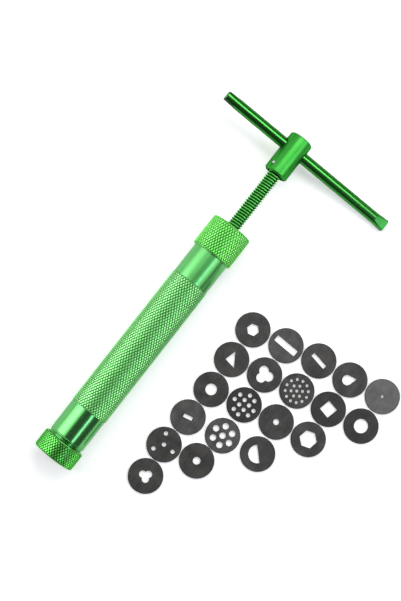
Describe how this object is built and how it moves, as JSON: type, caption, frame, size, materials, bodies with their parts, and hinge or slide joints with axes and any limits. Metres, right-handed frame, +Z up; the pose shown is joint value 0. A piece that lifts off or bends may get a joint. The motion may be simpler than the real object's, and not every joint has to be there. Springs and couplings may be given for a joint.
{
  "type": "fondant extruder",
  "caption": "Hand-turned fondant extruder with a knurled green barrel, screw caps, a lead screw with a sliding T-bar, and a set of loose dies laid out beside it.",
  "frame": {"origin": "centre of the front cap's mouth, in the plane of its front face", "axes": "+Y along the tool's axis from the mouth to the handle, +Z up from the surface that it lies on, +X towards the loose dies"},
  "size_m": [0.1611, 0.1961, 0.0218],
  "materials": {
    "green_anodised": "satin",
    "dark_green_anodised": "gloss",
    "bare_aluminium": "satin",
    "bright_steel": "satin",
    "charcoal_die": "matte",
    "black_rubber": "matte"
  },
  "bodies": {
    "barrel": {"barrel": "green_anodised", "die_trefoil_small": "charcoal_die", "die_four_holes": "charcoal_die", "die_slot_short": "charcoal_die", "die_round_large": "charcoal_die", "die_triangle": "charcoal_die", "die_hexagon_small": "charcoal_die", "die_round_medium": "charcoal_die", "die_seven_holes": "charcoal_die", "die_twelve_holes": "charcoal_die", "die_trefoil_large": "charcoal_die", "die_slot_wide": "charcoal_die", "die_half_moon": "charcoal_die", "die_round_small": "charcoal_die", "die_nineteen_holes": "charcoal_die", "die_slot_narrow": "charcoal_die", "die_hexagon_large": "charcoal_die", "die_square": "charcoal_die", "die_teardrop": "charcoal_die", "die_round_widest": "charcoal_die", "die_pinhole": "charcoal_die"},
    "die_seat": {"fitted_die": "charcoal_die"},
    "front_cap": {"front_cap": "green_anodised"},
    "rear_cap": {"rear_cap": "green_anodised"},
    "plunger": {"piston": "bare_aluminium", "piston_seal": "black_rubber"},
    "screw": {"lead_screw": "dark_green_anodised", "piston_washer": "bright_steel", "piston_screw": "bright_steel", "handle_hub": "green_anodised", "hub_pin": "bright_steel"},
    "handle_bar": {"handle_bar": "dark_green_anodised"}
  },
  "joints": [
    {"name": "front_cap_travel", "type": "slide", "parent": "barrel", "child": "die_seat", "axis": [0, -1, 0], "range_m": [0, 0.00705]},
    {"name": "front_cap_turn", "type": "hinge", "parent": "die_seat", "child": "front_cap", "pos_m": [0, 0.00465, 0], "axis": [0, -1, 0], "range_deg": [0, 2520]},
    {"name": "rear_cap_pull", "type": "slide", "parent": "barrel", "child": "rear_cap", "axis": [0, 1, 0], "range_m": [0, 0.14]},
    {"name": "plunger_slide", "type": "slide", "parent": "rear_cap", "child": "plunger", "axis": [0, -1, 0], "range_m": [-0.0884, 0.0333]},
    {"name": "screw_turn", "type": "hinge", "parent": "plunger", "child": "screw", "pos_m": [0, 0.1891, 0], "axis": [0, -1, 0], "range_deg": [-22680, 8550]},
    {"name": "bar_slide", "type": "slide", "parent": "screw", "child": "handle_bar", "axis": [0.9891, 0, -0.1473], "range_m": [-0.046, 0.029]}
  ],
  "couplings": [
    {"joint": "front_cap_travel", "follows": "front_cap_turn", "m_per_rad": 0.00015915},
    {"joint": "plunger_slide", "follows": "screw_turn", "m_per_rad": 0.00022282}
  ]
}
